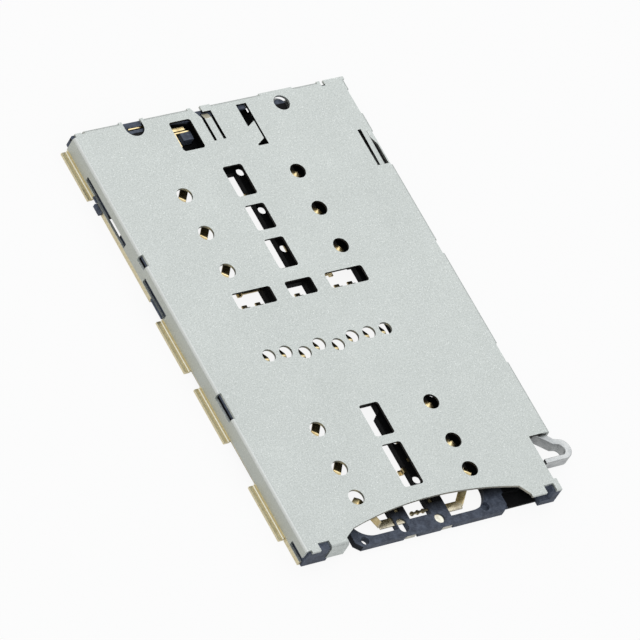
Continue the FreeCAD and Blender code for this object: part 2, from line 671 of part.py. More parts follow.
def stamp_windows(body):
    """Holes over the contact tips, windows over the ribs and the openings near the rear edge."""
    holes = new_sketch(body, "XY_Plane", "contact_windows")
    for side in ("-1", "1"):
        for row in SIM_ROWS["rear"] + SIM_ROWS["front"]:
            draw_circle(holes, side + " * sim_x", row, "sim_hole")
    for count in range(1, MEMORY_COUNT + 1):
        across, along = memory_place(count)
        draw_circle(holes, across, along, "mem_hole")
    draw_circle(holes, "pivot_x", "pivot_y", "pivot_hole")
    pocket(body, holes, "contact_holes", backwards=True)

    windows = [("rib_window_a", "rib_window_b", front, rear) for front, rear in spans("rib_window")]
    for left, right in spans("bar_window"):
        windows.append((left, right, "bar_window_front", "bar_window_rear"))
    windows.append(("switch_window_a", "switch_window_b", "switch_window_front", "switch_window_rear"))
    for first in range(0, len(windows), 3):
        plan = new_sketch(body, "XY_Plane", "window_plan_%d" % (first // 3 + 1))
        for left, right, front, rear in windows[first:first + 3]:
            draw_window(plan, left, right, front, rear, "window_round")
        pocket(body, plan, "window_cut_%d" % (first // 3 + 1), backwards=True)

    rear = new_sketch(body, "XY_Plane", "rear_cuts")
    far = "cover_rear + 1"
    tab_tip = "lever_slit_a + lever_tab_reach"
    draw(rear, [
        ("rear_notch_a", far), ("rear_notch_a", "rear_notch_y", "rear_notch_round"),
        ("rear_notch_b", "rear_notch_y"), ("rear_notch_b", far),
    ])
    draw(rear, [
        ("lever_slit_a", "lever_slit_rear"), ("lever_slit_a", "lever_tab_rear - lever_tab_slant"),
        (tab_tip, "lever_tab_rear"), (tab_tip, "lever_tab_front"),
        ("lever_slit_a", "lever_tab_front - lever_tab_slant"), ("lever_slit_a", "lever_slit_front"),
        ("lever_slit_b", "lever_slit_front"), ("lever_slit_b", "lever_slit_rear"),
    ])
    draw_box(rear, "corner_slit_a", "corner_slit_b", "wall_rear", far)
    bend = "-(cover_left - %s)" % FOLD
    draw(rear, [
        ("-cover_left - 1", "wall_rear"), (bend, "wall_rear"), (bend, "corner_edge"),
        ("relief_a", "corner_edge"), ("relief_a", "relief_y"), ("rear_wall_start_1", "relief_y"),
        ("rear_wall_start_1", far), ("-cover_left - 1", far),
    ])
    pocket(body, rear, "rear_trim", backwards=True)


def cut_springs(body):
    """Cut the grounding tongue and the hold-down finger free and bend them down."""
    plan = new_sketch(body, "XY_Plane", "spring_cuts")
    draw(plan, [
        ("ground_cut_a", "ground_front"), ("ground_cut_b", "ground_front"),
        ("ground_cut_b", "ground_cut_rear"), ("ground_mouth_b", "ground_cut_rear"),
        ("ground_mouth_b", "cover_rear + 1"), ("ground_mouth_a", "cover_rear + 1"),
        ("ground_mouth_a", "cover_rear"), ("ground_cut_a", "ground_mouth_y"),
    ])
    draw(plan, [
        ("hold_cut_a", "hold_tip - hold_cut_tip"), ("hold_cut_b", "hold_tip - hold_cut_tip"),
        ("hold_cut_b", "hold_cut_wide"), ("hold_b", "hold_cut_wide + hold_cut_slant"),
        ("hold_b", "hold_root"), ("hold_cut_a", "hold_root"),
    ])
    pocket(body, plan, "spring_slits", backwards=True)

    ground = new_sketch(body, "YZ_Plane", "ground_side", "ground_a")
    draw(ground, [
        ("ground_front", UNDERSIDE), ("ground_knee", UNDERSIDE),
        ("ground_tip", UNDERSIDE + " - ground_drop"), ("ground_tip", "total_height - ground_drop"),
        ("ground_knee", "total_height"), ("ground_front", "total_height"),
    ])
    pad(body, ground, "ground_tongue", "ground_b - ground_a")

    hold = new_sketch(body, "YZ_Plane", "hold_side", "hold_a")
    tip_z = "(floor_thick + rod_lift + rod_high + hold_gap)"
    draw(hold, [
        ("hold_tip", tip_z), ("hold_root", UNDERSIDE),
        ("hold_root", "total_height"), ("hold_tip", tip_z + " + sheet_thick"),
    ])
    pad(body, hold, "hold_finger", "hold_b - hold_a")


def make_housing():
    """The moulding: an open floor, rails, the rear block, the lever bay and the rod channel."""
    body = new_body("base_housing")
    chamfer_front = HOUSING_FRONT + " + bar_chamfer"
    corner_rear = HOUSING_FRONT + " + corner_depth"

    floor = new_sketch(body, "XY_Plane", "floor_plan")
    draw(floor, [
        (HOUSING_LEFT, HOUSING_FRONT), ("-block_left", HOUSING_FRONT),
        ("-block_left", "bay_y"), ("bar_left", "bay_y"), ("bar_left", chamfer_front),
        ("bar_left + bar_chamfer", HOUSING_FRONT), ("bar_right - bar_chamfer", HOUSING_FRONT),
        ("bar_right", chamfer_front), ("bar_right", "bay_y"), ("block_right", "bay_y"),
        ("block_right", HOUSING_FRONT), ("corner_right", HOUSING_FRONT),
        ("corner_right", corner_rear), ("step_x", corner_rear),
        ("step_x", "channel_front"), (HOUSING_RIGHT, "channel_front"),
        (HOUSING_RIGHT, HOUSING_REAR), (HOUSING_LEFT + " + rear_corner", HOUSING_REAR),
        (HOUSING_LEFT, HOUSING_REAR + " - rear_corner"),
    ])
    pad(body, floor, "floor", "floor_thick")

    sill = new_sketch(body, "XY_Plane", "sill_plan")
    draw_box(sill, "bar_right - bar_chamfer", "block_right + join", "sill_y", "bay_y + join")
    pad(body, sill, "sill", "sill_thick")

    walls = new_sketch(body, "XY_Plane", "wall_plan", "floor_thick")
    draw(walls, [
        (HOUSING_LEFT, HOUSING_FRONT), ("-block_left", HOUSING_FRONT), ("-block_left", "tray_stop"),
        ("lever_bay_left", "tray_stop"), ("lever_bay_left", "lever_bay_rear"),
        ("bay_open_left", "lever_bay_rear"), ("bay_open_left", HOUSING_REAR),
        ("rear_lug_b", HOUSING_REAR), ("rear_lug_b", "rear_lug_y"),
        ("rear_lug_a", "rear_lug_y"), ("rear_lug_a", HOUSING_REAR),
        ("-corner_post_in", HOUSING_REAR), ("-corner_post_in", "corner_edge"),
        ("-corner_post_x", "corner_edge"), ("-corner_post_x", "wall_rear + side_gap"),
        (HOUSING_LEFT, "wall_rear + side_gap"),
    ])
    draw(walls, [
        ("block_right", "notch_y"), ("corner_post", "notch_y"),
        ("corner_post", HOUSING_FRONT + " + corner_bevel"),
        ("corner_post + corner_bevel", HOUSING_FRONT), ("corner_right", HOUSING_FRONT),
        ("corner_right", corner_rear), ("step_x", corner_rear),
        ("step_x", "rail_rear"), ("block_right", "rail_rear"),
    ])
    draw_box(walls, "channel_outer", HOUSING_RIGHT, "channel_front", "rail_rear + rail_lag")
    draw_box(walls, "pivot_x + pivot_clear", HOUSING_RIGHT + " - corner_inset",
             "lever_bay_rear", HOUSING_REAR)
    pad(body, walls, "walls", UNDERSIDE + " - floor_thick")

    open_floor(body)
    seat_leads(body)
    cut_rear_block(body)

    flap_room = new_sketch(body, "XY_Plane", "flap_room_plan", "flap_low - flap_room")
    draw_box(flap_room, "flap_left - flap_room", "-block_left + join", HOUSING_FRONT + " - join",
             "-cover_front + %s + flap_room" % FOLD)
    pocket(body, flap_room, "flap_room_cut", "total_height", backwards=True)
    tongue_room = new_sketch(body, "XY_Plane", "tongue_room_plan", UNDERSIDE)
    draw_box(tongue_room, "ground_a - ground_room", "ground_b + ground_room",
             "ground_front - ground_room", "ground_tip + ground_room")
    pocket(body, tongue_room, "tongue_room_cut", "ground_drop + ground_room")

    collar = new_sketch(body, "XY_Plane", "pivot_collar_plan", "floor_thick")
    draw_circle(collar, "pivot_x", "pivot_y", "lever_eye - 0.05")
    pad(body, collar, "pivot_collar", "lever_seat")
    post = new_sketch(body, "XY_Plane", "pivot_post_plan", "floor_thick")
    draw_circle(post, "pivot_x", "pivot_y", "pivot_radius")
    pad(body, post, "pivot_post", UNDERSIDE + " - floor_thick - pivot_gap")
    return body


def open_floor(body):
    """Openings around the contacts, the punched holes, the front bar's holes and the edge notches."""
    rear_arms = "rear_row + sim_back + sim_width / 2 + lead_room"
    front_arms = "front_row + sim_back + sim_width / 2 + lead_room"
    bar = "anchor_half"
    plan = new_sketch(body, "XY_Plane", "rear_openings")
    draw_box(plan, "open_left", "rib_left_a", bar, rear_arms)
    draw_box(plan, "rib_left_b", "rib_right_a", "cross_rear", "rear_floor")
    draw(plan, [
        ("rib_left_b", bar), ("rib_right_a + rib_neck", bar),
        ("rib_right_a + rib_neck", "cross_front"), ("rib_left_b", "cross_front"),
    ])
    draw(plan, [
        ("rib_right_b", bar), ("open_right + open_wide", bar),
        ("open_right + open_wide", "cross_front + open_step"),
        ("open_right", "cross_front + open_step"), ("open_right", rear_arms), ("rib_right_b", rear_arms),
    ])
    draw_box(plan, "-mem_open_half", "mem_open_half", "mem_open_front", "-" + bar)
    for row in ("rear_row", "front_row"):
        root = row + " + sim_back"
        low = root + " - sim_width / 2 - lead_room"
        draw_box(plan, "rib_left_b", "rib_right_a", low, root + " + sim_width / 2 + lead_room")
    pocket(body, plan, "rear_openings_cut", "floor_thick", backwards=True)

    plan = new_sketch(body, "XY_Plane", "front_openings")
    round_y = "front_open_front + finger_round"
    wide = "open_right + open_wide"
    draw(plan, [
        ("open_left + finger_round", "front_open_front"), ("rib_left_a", "front_open_front"),
        ("rib_left_a", front_arms), ("open_left", front_arms),
        ("open_left", round_y, "finger_round"),
    ])
    draw(plan, [
        ("rib_right_b", "front_open_front"), (wide + " - finger_round", "front_open_front", "finger_round"),
        (wide, round_y), (wide, round_y + " + finger_notch"),
        ("open_right", round_y + " + finger_notch + open_wide"), ("open_right", front_arms),
        ("rib_right_b", front_arms),
    ])
    draw(plan, [
        ("rib_left_b", "centre_open_front"), ("rib_right_a", "centre_open_front"),
        ("rib_right_a", "front_open_rear - neck_run - open_step"),
        ("rib_right_a + rib_neck", "front_open_rear - neck_run"),
        ("rib_right_a + rib_neck", "front_open_rear"), ("rib_left_b", "front_open_rear"),
    ])
    pocket(body, plan, "front_openings_cut", "floor_thick", backwards=True)

    bored = new_sketch(body, "XY_Plane", "bored_plan")
    draw_circle(bored, "corner_hole_x", "corner_hole_y", "small_hole")
    draw_circle(bored, "bar_hole_x", "bar_hole_y", "small_hole")
    draw_window(bored, "bar_slot_a", "bar_slot_b", "bar_slot_front", "bar_slot_rear", "bar_slot_round")
    draw_circle(bored, "bar_round_x", "bar_round_y", "bar_round")
    pocket(body, bored, "bored_holes", "floor_thick", backwards=True)

    blind = new_sketch(body, "XY_Plane", "blind_hole_plan", "floor_thick")
    draw_circle(blind, "blind_x", "bar_round_y", "blind_radius")
    pocket(body, blind, "blind_hole", "floor_thick - sill_thick")

    punch_rows = ["rear_row + punch_lift - %d * punch_pitch" % step for step in (0, 1, 2)]
    punch_rows += ["front_row - punch_lift - %d * punch_pitch" % step for step in (0, 1)]
    punched = new_sketch(body, "XY_Plane", "punched_plan")
    sunk = new_sketch(body, "XY_Plane", "punched_sink_plan")
    for row in punch_rows:
        draw_circle(punched, "punch_x", row, "punch_radius")
        draw_box(sunk, "punch_x - punch_radius", "punch_x + punch_sink",
                 row + " - punch_radius", row + " + punch_sink")
    pocket(body, punched, "punched_holes", "floor_thick", backwards=True)
    pocket(body, sunk, "punched_sinks", "floor_thick - punch_skin", backwards=True)

    edges = new_sketch(body, "XY_Plane", "edge_notches")
    draw_box(edges, HOUSING_LEFT + " - join", HOUSING_LEFT + " + side_notch_deep",
             "side_notch_a", "side_notch_b")
    draw_box(edges, "bay_hole_a", "bay_hole_b", "bay_hole_front", HOUSING_REAR + " + join")
    pocket(body, edges, "see_through_notches", backwards=True)

    feet = new_sketch(body, "XY_Plane", "tail_notches")
    for left, right in spans("tail_notch"):
        draw_box(feet, left, right, HOUSING_FRONT + " - join", HOUSING_FRONT + " + tail_notch_deep")
    pocket(body, feet, "tail_notch_cuts", "lead_z + contact_thick", backwards=True)

    pits = new_sketch(body, "XY_Plane", "pit_plan", "floor_thick")
    for (left, right), (front, rear) in zip(spans("pit_across"), spans("pit_along")):
        draw_box(pits, left, right, front, rear)
    pocket(body, pits, "lead_pits", "floor_thick - lead_z - contact_thick")

    lug = new_sketch(body, "XY_Plane", "lug_plan", "skirt_low")
    draw_box(lug, "-cover_left - lug_reach", HOUSING_LEFT + " + join", "lug_front", "lug_rear")
    pad(body, lug, "side_lug", "wall_low - skirt_low - side_gap")


class SimContact:
    """Where one SIM contact stands. Side is -1 for the left column and 1 for the right."""

    def __init__(self, card, column, count, row):
        self.name = "sim_contact_%s_%s_%d" % (card, column, count)
        self.side = "-1" if column == "left" else "1"
        self.root = row + " + sim_back"
        self.tail = self.root
        self.outward = False
        self.forward = card == "front" and count == 3
        self.tip = (self.side + " * sim_x", row)
        if self.forward:
            self.root = "long_root"
            if column == "left":
                self.tip = ("-sim_x + bent_tip_in", row + " - bent_tip_front")
        if card == "front" and count == 2:
            self.tail = "front_tail_y"
        if card == "rear" and count == 3:
            self.tail = "side_tail_y"
            self.outward = True
        rib = ("rib_left_b", "rib_left_a") if self.side == "-1" else ("rib_right_a", "rib_right_b")
        self.inner, self.outer = rib

    def away(self, start, length):
        """A place that lies a length further from the centre than the start."""
        return "%s + %s * (%s)" % (start, self.side, length)

    def far_end(self):
        """Where the lead ends outside its rib and the arm starts."""
        return self.away(self.outer, "long_stub" if self.forward else "stub")

    def span(self, name):
        """The two ends of a stretch that is given once for each side."""
        return spans(name)[0 if self.side == "-1" else 1]

    def tail_bend(self):
        """Where the lead turns down to the board."""
        if self.outward:
            return self.away(self.outer, "side_tail_reach")
        return self.away(self.inner, "-tail_reach / 2")

    def tail_width(self):
        return "sim_width" if self.tail == self.root else "bus_width"


def sim_contacts():
    return [
        SimContact(card, column, count, row)
        for card in ("rear", "front")
        for column in ("left", "right")
        for count, row in enumerate(SIM_ROWS[card], 1)
    ]


def draw_forward_lead(sketch, contact):
    """The lead of a last contact: a tab below the pit, a runner to the front and a wide end."""
    far = contact.far_end()
    low = "long_root - long_width / 2"
    high = "long_root + long_width / 2"
    toe_rear = "toe_front + toe_run"
    toe_left, toe_right = contact.span("toe")
    run_left, run_right = contact.span("runner")
    pit_left, pit_right = contact.span("pit_across")
    pit_rear = contact.span("pit_along")[1] + " + lead_room"
    if contact.side == "-1":
        draw(sketch, [
            (far, low), (far, high), (pit_left, high), (pit_left, pit_rear), (pit_right, pit_rear),
            (pit_right, high), (run_right, high), (run_right, "toe_front"), (toe_left, "toe_front"),
            (toe_left, toe_rear), (run_left, toe_rear), (run_left, low),
        ])
        return
    draw(sketch, [
        (far, low), (far, high), (pit_right, high), (pit_right, pit_rear), (pit_left, pit_rear),
        (pit_left, high), (contact.inner, high), (contact.inner, "lobe_y - lobe_neck / 2"),
        (run_left, "lobe_y - lobe_neck / 2"), (run_left, toe_rear), (toe_left, toe_rear),
        (toe_left, "toe_front"), (toe_right, "toe_front"), (toe_right, toe_rear),
        (run_right, toe_rear), (run_right, low),
    ])


def draw_lead(sketch, contact):
    """The flat lead of a SIM contact: through its rib, along it first where the tail stands elsewhere."""
    if contact.forward:
        draw_forward_lead(sketch, contact)
        return
    far = contact.far_end()
    root_low = contact.root + " - sim_width / 2"
    root_high = contact.root + " + sim_width / 2"
    end = contact.tail_bend()
    if contact.tail == contact.root:
        draw(sketch, [(end, root_low), (far, root_low), (far, root_high), (end, root_high)])
        return
    tail_low = contact.tail + " - bus_width / 2"
    tail_high = contact.tail + " + bus_width / 2"
    middle = "(%s + %s) / 2" % (contact.inner, contact.outer)
    bus_in = contact.away(middle, "-bus_width / 2")
    bus_out = contact.away(middle, "bus_width / 2")
    draw(sketch, [
        (far, root_low), (far, root_high), (bus_in, root_high),
        (bus_in, tail_low if contact.outward else tail_high),
        (end, tail_low if contact.outward else tail_high),
        (end, tail_high if contact.outward else tail_low),
        (bus_out, tail_high if contact.outward else tail_low), (bus_out, root_low),
    ])


def draw_memory_lead(sketch, count):
    """The flat lead of a memory contact, stepped sideways inside its bar."""
    across, _ = memory_place(count)
    tail = memory_tail(count)
    half = "mem_width / 2"
    front = "-anchor_half - mem_stub"
    rear = "anchor_half + mem_stub"
    draw(sketch, [
        ("%s - %s" % (across, half), front), ("%s + %s" % (across, half), front),
        ("%s + %s" % (across, half), "-anchor_half / 2"), ("%s + %s" % (tail, half), "anchor_half / 2"),
        ("%s + %s" % (tail, half), rear), ("%s - %s" % (tail, half), rear),
        ("%s - %s" % (tail, half), "anchor_half / 2"), ("%s - %s" % (across, half), "-anchor_half / 2"),
    ])


def memory_tail(count):
    """Centre of one memory contact's solder tail. The places under the two ribs stay free."""
    return "mem_tail_first + %d * mem_tail_pitch" % MEMORY_TAIL_STEPS[count - 1]


def seat_leads(body):
    """The leads are moulded in, so each one's room in the floor is its own outline."""
    contacts = sim_contacts()
    for group in range(0, len(contacts), 3):
        plan = new_sketch(body, "XY_Plane", "sim_seat_plan_%d" % (group // 3 + 1), "lead_z")
        for contact in contacts[group:group + 3]:
            draw_lead(plan, contact)
        pocket(body, plan, "sim_seats_%d" % (group // 3 + 1), "contact_thick", backwards=True)
    for first in range(1, MEMORY_COUNT + 1, 2):
        plan = new_sketch(body, "XY_Plane", "memory_seat_plan_%d" % first, "lead_z")
        for count in (first, first + 1):
            draw_memory_lead(plan, count)
        pocket(body, plan, "memory_seats_%d" % first, "contact_thick", backwards=True)


def cut_rear_block(body):
    """Room for the card switch, with a post between its two strips."""
    plan = new_sketch(body, "XY_Plane", "switch_room_plan", UNDERSIDE)
    slot = "(switch_thick / 2 + switch_play)"
    draw(plan, [
        ("switch_root - switch_play", "switch_root_y - " + slot), ("switch_bend", "switch_root_y - " + slot),
        ("switch_room_a", "switch_end_y - %s" % slot), ("switch_room_a", "switch_room_front"),
        ("switch_room_b", "switch_room_front"), ("switch_room_b", "switch_end_y + " + slot),
        ("switch_bend", "switch_root_y + switch_thick / 2"),
        ("switch_root - switch_play", "switch_root_y + switch_thick / 2"),
    ])
    pocket(body, plan, "switch_room", UNDERSIDE + " - floor_thick")
    post = new_sketch(body, "XY_Plane", "switch_post_plan", "floor_thick")
    draw_box(post, "switch_post_a", "fixed_end", "switch_post_front", "fixed_rear - switch_thick / 2")
    pad(body, post, "switch_post", "switch_high")


def arm_outline(sketch, run):
    """Side view of a contact arm: up to a round tip and a short way down again."""
    low = "lead_z"
    slope = "atan((tip_height - contact_thick - lead_z) / (%s))" % run
    half = "tip_round * sin(%s)" % slope
    sag = "tip_round * (1 - cos(%s))" % slope
    rise_a = "(%s) - %s" % (run, half)
    rise_b = "(%s) + %s" % (run, half)
    under = "tip_height - contact_thick - %s" % sag
    over = "tip_height - %s" % sag
    end = "%s + tip_tail" % rise_b
    fall = "tip_tail * tan(%s)" % slope
    draw(sketch, [
        ("0", low), (rise_a, under, "-tip_round"), (rise_b, under),
        (end, "%s - %s" % (under, fall)), (end, "%s - %s" % (over, fall)),
        (rise_b, over, "tip_round"), (rise_a, over), ("0", low + " + contact_thick"),
    ])


def make_sim_contact(contact):
    """Lead, diagonal arm and solder tail of one SIM contact."""
    name = contact.name
    body = new_body(name)
    lead = new_sketch(body, "XY_Plane", name + "_lead_plan", "lead_z")
    draw_lead(lead, contact)
    pad(body, lead, name + "_lead", "contact_thick")

    start_x = "(%s)" % contact.away(contact.far_end(), "-sim_width / 4")
    tip_x, tip_y = contact.tip
    run_x = "(%s - %s)" % (tip_x, start_x)
    run_y = "(%s - (%s))" % (tip_y, contact.root)
    angle = math.degrees(math.atan2(number(run_y), number(run_x)))
    arm = new_sketch(body, "XZ_Plane", name + "_arm_side", "0", angle)
    arm.setExpression("AttachmentOffset.Base.x", linked(start_x))
    arm.setExpression("AttachmentOffset.Base.z", linked("-(%s)" % contact.root))
    arm_outline(arm, "sqrt(%s * %s + %s * %s)" % (run_x, run_x, run_y, run_y))
    pad(body, arm, name + "_arm", "sim_width", both_ways=True)

    if contact.forward:
        add_toe(body, contact)
        return body
    tail = new_sketch(body, "XZ_Plane", name + "_tail_side", "-(%s)" % contact.tail)
    bend = contact.tail_bend()
    sense = "1" if contact.outward else "-1"
    back = contact.away(bend, "-(%s) * contact_thick" % sense)
    toe = contact.away(bend, "%s * tail_reach / 2" % sense)
    draw(tail, [
        (back, "lead_z + contact_thick"), (back, "0"), (toe, "0"),
        (toe, "contact_thick"), (bend, "contact_thick"), (bend, "lead_z + contact_thick"),
    ])
    pad(body, tail, name + "_tail", contact.tail_width(), both_ways=True)
    return body


def add_toe(body, contact):
    """The tail of a last contact turns down and back below the front bar."""
    left, right = contact.span("toe")
    toe = new_sketch(body, "YZ_Plane", contact.name + "_toe_side", left)
    draw(toe, [
        ("toe_front", "0"), ("toe_back", "0"), ("toe_back", "contact_thick"),
        ("toe_front + contact_thick", "contact_thick"),
        ("toe_front + contact_thick", "lead_z + contact_thick"), ("toe_front", "lead_z + contact_thick"),
    ])
    pad(body, toe, contact.name + "_toe", "%s - (%s)" % (right, left))
    if contact.side == "-1":
        return
    strip = new_sketch(body, "XY_Plane", "lobed_strip_plan", "lead_z")
    draw_box(strip, "lobe_end", contact.inner, "lobe_y - lobe_neck / 2", "lobe_y + lobe_neck / 2")
    pad(body, strip, "lobed_strip", "contact_thick")
    lobes = new_sketch(body, "XY_Plane", "lobe_plan", "lead_z")
    for count in range(3):
        draw_circle(lobes, "lobe_end + %d * lobe_pitch" % count, "lobe_y", "lobe_radius")
    pad(body, lobes, "lobes", "contact_thick")


def make_memory_contact(count):
    """Lead, arm and solder tail of one memory contact."""
    name = "memory_contact_%d" % count
    body = new_body(name)
    across, along = memory_place(count)
    tail_x = memory_tail(count)
    lead = new_sketch(body, "XY_Plane", name + "_lead_plan", "lead_z")
    draw_memory_lead(lead, count)
    pad(body, lead, name + "_lead", "contact_thick")

    start_y = "(-anchor_half - mem_stub + contact_thick)"
    arm = new_sketch(body, "XZ_Plane", name + "_arm_side", "0", -90)
    arm.setExpression("AttachmentOffset.Base.x", linked(across))
    arm.setExpression("AttachmentOffset.Base.z", linked("-" + start_y))
    arm_outline(arm, "(%s - (%s))" % (start_y, along))
    pad(body, arm, name + "_arm", "mem_width", both_ways=True)

    tail = new_sketch(body, "YZ_Plane", name + "_tail_side", tail_x)
    bend = "anchor_half + mem_stub"
    draw(tail, [
        (bend + " - contact_thick", "lead_z + contact_thick"), (bend + " - contact_thick", "0"),
        (bend + " + tail_reach * 0.8", "0"), (bend + " + tail_reach * 0.8", "contact_thick"),
        (bend, "contact_thick"), (bend, "lead_z + contact_thick"),
    ])
    pad(body, tail, name + "_tail", "mem_width", both_ways=True)
    return body


def make_switch():
    """Two strips on edge that the tray closes: a long spring and a fixed angle."""
    half = "switch_thick / 2"
    spring = new_body("switch_spring")
    plan = new_sketch(spring, "XY_Plane", "switch_spring_plan", "floor_thick")
    draw(plan, [
        ("switch_root", "switch_root_y - " + half), ("switch_bend", "switch_root_y - " + half),
        ("switch_lip_x", "switch_end_y - switch_lip / 2"), ("switch_end", "switch_end_y - switch_lip / 2"),
        ("switch_end", "switch_end_y + switch_lip / 2"), ("switch_lip_x", "switch_end_y + switch_lip / 2"),
        ("switch_bend", "switch_root_y + " + half), ("switch_root", "switch_root_y + " + half),
    ])
    pad(spring, plan, "switch_spring_strip", "switch_high")

    fixed = new_body("switch_contact")
    plan = new_sketch(fixed, "XY_Plane", "switch_contact_plan", "floor_thick")
    draw(plan, [
        ("fixed_x - " + half, "fixed_front"), ("fixed_x + " + half, "fixed_front"),
        ("fixed_x + " + half, "fixed_rear - " + half), ("fixed_end", "fixed_rear - " + half),
        ("fixed_end", "fixed_rear + " + half), ("fixed_x - " + half, "fixed_rear + " + half),
    ])
    pad(fixed, plan, "switch_contact_strip", "switch_high")
    return [spring, fixed]


def make_lever():
    """A flat bell crank: an eye on the pivot, a nose at the push rod and a tip behind the tray."""
    body = new_body("eject_lever")
    body.setExpression("Placement.Base.x", linked("pivot_x"))
    body.setExpression("Placement.Base.y", linked("pivot_y"))
    body.setExpression("Placement.Base.z", linked("floor_thick + lever_seat"))
    nose_x = "sqrt(lever_arm * lever_arm - lever_drop * lever_drop)"
    arms = new_sketch(body, "XY_Plane", "lever_arms_plan")
    draw(arms, [
        ("kick_x - kick_radius * 0.87", "kick_y + kick_radius * 0.5"),
        ("kick_x + kick_radius * 0.87", "kick_y - kick_radius * 0.5"),
        ("lever_eye * 1.1", "-lever_eye * 0.9"),
        (nose_x, "-lever_drop - nose_radius"), (nose_x, "-lever_drop + nose_radius"),
        ("pivot_clear * 0.85", "nose_radius * 0.5"), ("0", "lever_eye"), ("-lever_eye", "0"),
    ])
    pad(body, arms, "lever_arms", "lever_thick")
    for name, across, along, radius in (("eye", "0", "0", "lever_eye"),
                                        ("nose", nose_x, "-lever_drop", "nose_radius"),
                                        ("tip", "kick_x", "kick_y", "kick_radius")):
        disc = new_sketch(body, "XY_Plane", "lever_%s_plan" % name)
        draw_circle(disc, across, along, radius)
        pad(body, disc, "lever_" + name, "lever_thick")
    bore = new_sketch(body, "XY_Plane", "lever_bore_plan")
    draw_circle(bore, "0", "0", "pivot_radius + pivot_play")
    pocket(body, bore, "lever_bore", backwards=True)
    return body


def make_rod():
    """A strip on edge beside the tray slot, bent into a loop where a pin pushes it."""
    body = new_body("push_rod")
    half = "rod_thick / 2"
    rear = "pivot_y - lever_drop - nose_radius - rod_gap"
    plan = new_sketch(body, "XY_Plane", "rod_plan", "floor_thick + rod_lift")
    inner_round = "(head_round - head_thick)"
    draw(plan, [
        ("rod_x - " + half, rear), ("rod_x - " + half, "rod_bend - head_lag"),
        ("head_reach - loop_in", "head_rear - loop_drop"),
        ("head_reach - loop_side", "head_rear - head_thick", "-" + inner_round),
        ("head_reach - loop_side", "head_front + head_thick"), ("head_left", "head_front + head_thick"),
        ("head_left", "head_front"), ("head_reach", "head_front", "head_round"),
        ("head_reach + head_lag", "head_rear"), ("head_reach - loop_slant", "head_rear + head_lag"),
        ("rod_x + " + half, "rod_bend + head_lag"), ("rod_x + " + half, rear),
    ])
    pad(body, plan, "rod_strip", "rod_high")
    return body


def merge_faces(body):
    """Join the faces that the features left split, once, in the body's last feature."""
    body.Tip.Refine = True


def build_all():
    bodies = [make_cover(), make_housing()]
    for contact in sim_contacts():
        bodies.append(make_sim_contact(contact))
    for count in range(1, MEMORY_COUNT + 1):
        bodies.append(make_memory_contact(count))
    bodies.extend(make_switch())
    bodies.append(make_lever())
    bodies.append(make_rod())
    for body in bodies:
        merge_faces(body)
    document.recompute()
    return bodies


def check_and_write(bodies):
    """Stop on any failed object, empty cut or broken solid, then write the solids."""
    for item in document.Objects:
        if any(word in ("Invalid", "Error") for word in item.State):
            raise RuntimeError("%s failed: %s" % (item.Name, item.State))
        if item.TypeId == "PartDesign::Pocket":
            before = item.BaseFeature.Shape.Volume
            if item.Shape.Volume > before - 1e-6:
                raise RuntimeError("%s cuts nothing" % item.Name)
    for body in bodies:
        shape = body.Shape
        if shape.isNull() or not shape.isValid() or len(shape.Solids) != 1:
            raise RuntimeError("%s is not one valid solid" % body.Label)
    os.makedirs("parts", exist_ok=True)
    for body in bodies:
        body.Shape.exportStep("parts/%s.step" % body.Label)
        print("%-28s %9.4f mm3" % (body.Label, body.Shape.Volume))


fill_sheet()
check_and_write(build_all())
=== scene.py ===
# %% [markdown]
# # A card socket for a phone board
#
# The real thing is a folded sheet of plated steel over a black moulding. Gold spring contacts look
# through round windows in the sheet, and a steel rod beside the tray slot pushes a small lever at the
# rear. This lesson loads the finished CAD model, gives each piece the soft edges and the surface that the
# real one has, and lights it like a catalogue picture. Everything is in metres, in the frame of the CAD
# model.

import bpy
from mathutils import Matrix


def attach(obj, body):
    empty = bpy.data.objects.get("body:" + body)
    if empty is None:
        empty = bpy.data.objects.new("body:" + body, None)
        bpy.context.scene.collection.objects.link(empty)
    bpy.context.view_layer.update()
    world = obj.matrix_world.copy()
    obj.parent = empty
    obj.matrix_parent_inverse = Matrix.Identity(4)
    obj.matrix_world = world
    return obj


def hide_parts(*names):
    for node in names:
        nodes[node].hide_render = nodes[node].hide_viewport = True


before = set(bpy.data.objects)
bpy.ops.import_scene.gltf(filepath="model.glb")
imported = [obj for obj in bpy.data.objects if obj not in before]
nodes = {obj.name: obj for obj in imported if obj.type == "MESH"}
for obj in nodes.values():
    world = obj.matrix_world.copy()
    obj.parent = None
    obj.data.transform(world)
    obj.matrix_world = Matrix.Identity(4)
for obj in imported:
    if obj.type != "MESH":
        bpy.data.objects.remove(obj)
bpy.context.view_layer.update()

import math
import bmesh
import bpy
from mathutils import Matrix, Vector

MM = 0.001

# %% [markdown]
# ## The camera
#
# A long lens from a little over a third of a metre, looking down at the socket from its front left
# corner. The three directions are the camera's own right, up and back, worked out beforehand from the
# pitch of the contact windows. Setting them as the columns of one matrix places and turns the camera in a
# single step.

# %% Camera
CAMERA_PLACE = Vector((-204.82, -143.12, 267.30)) * MM
CAMERA_RIGHT = Vector((0.80567, -0.45787, 0.37584))
CAMERA_UP = Vector((0.18758, 0.79902, 0.57129))
CAMERA_BACK = Vector((-0.56188, -0.38977, 0.72964))
SENSOR_WIDTH = 36.0
PICTURE_WIDTH = 640
FOCAL_PIXELS = 6825.84

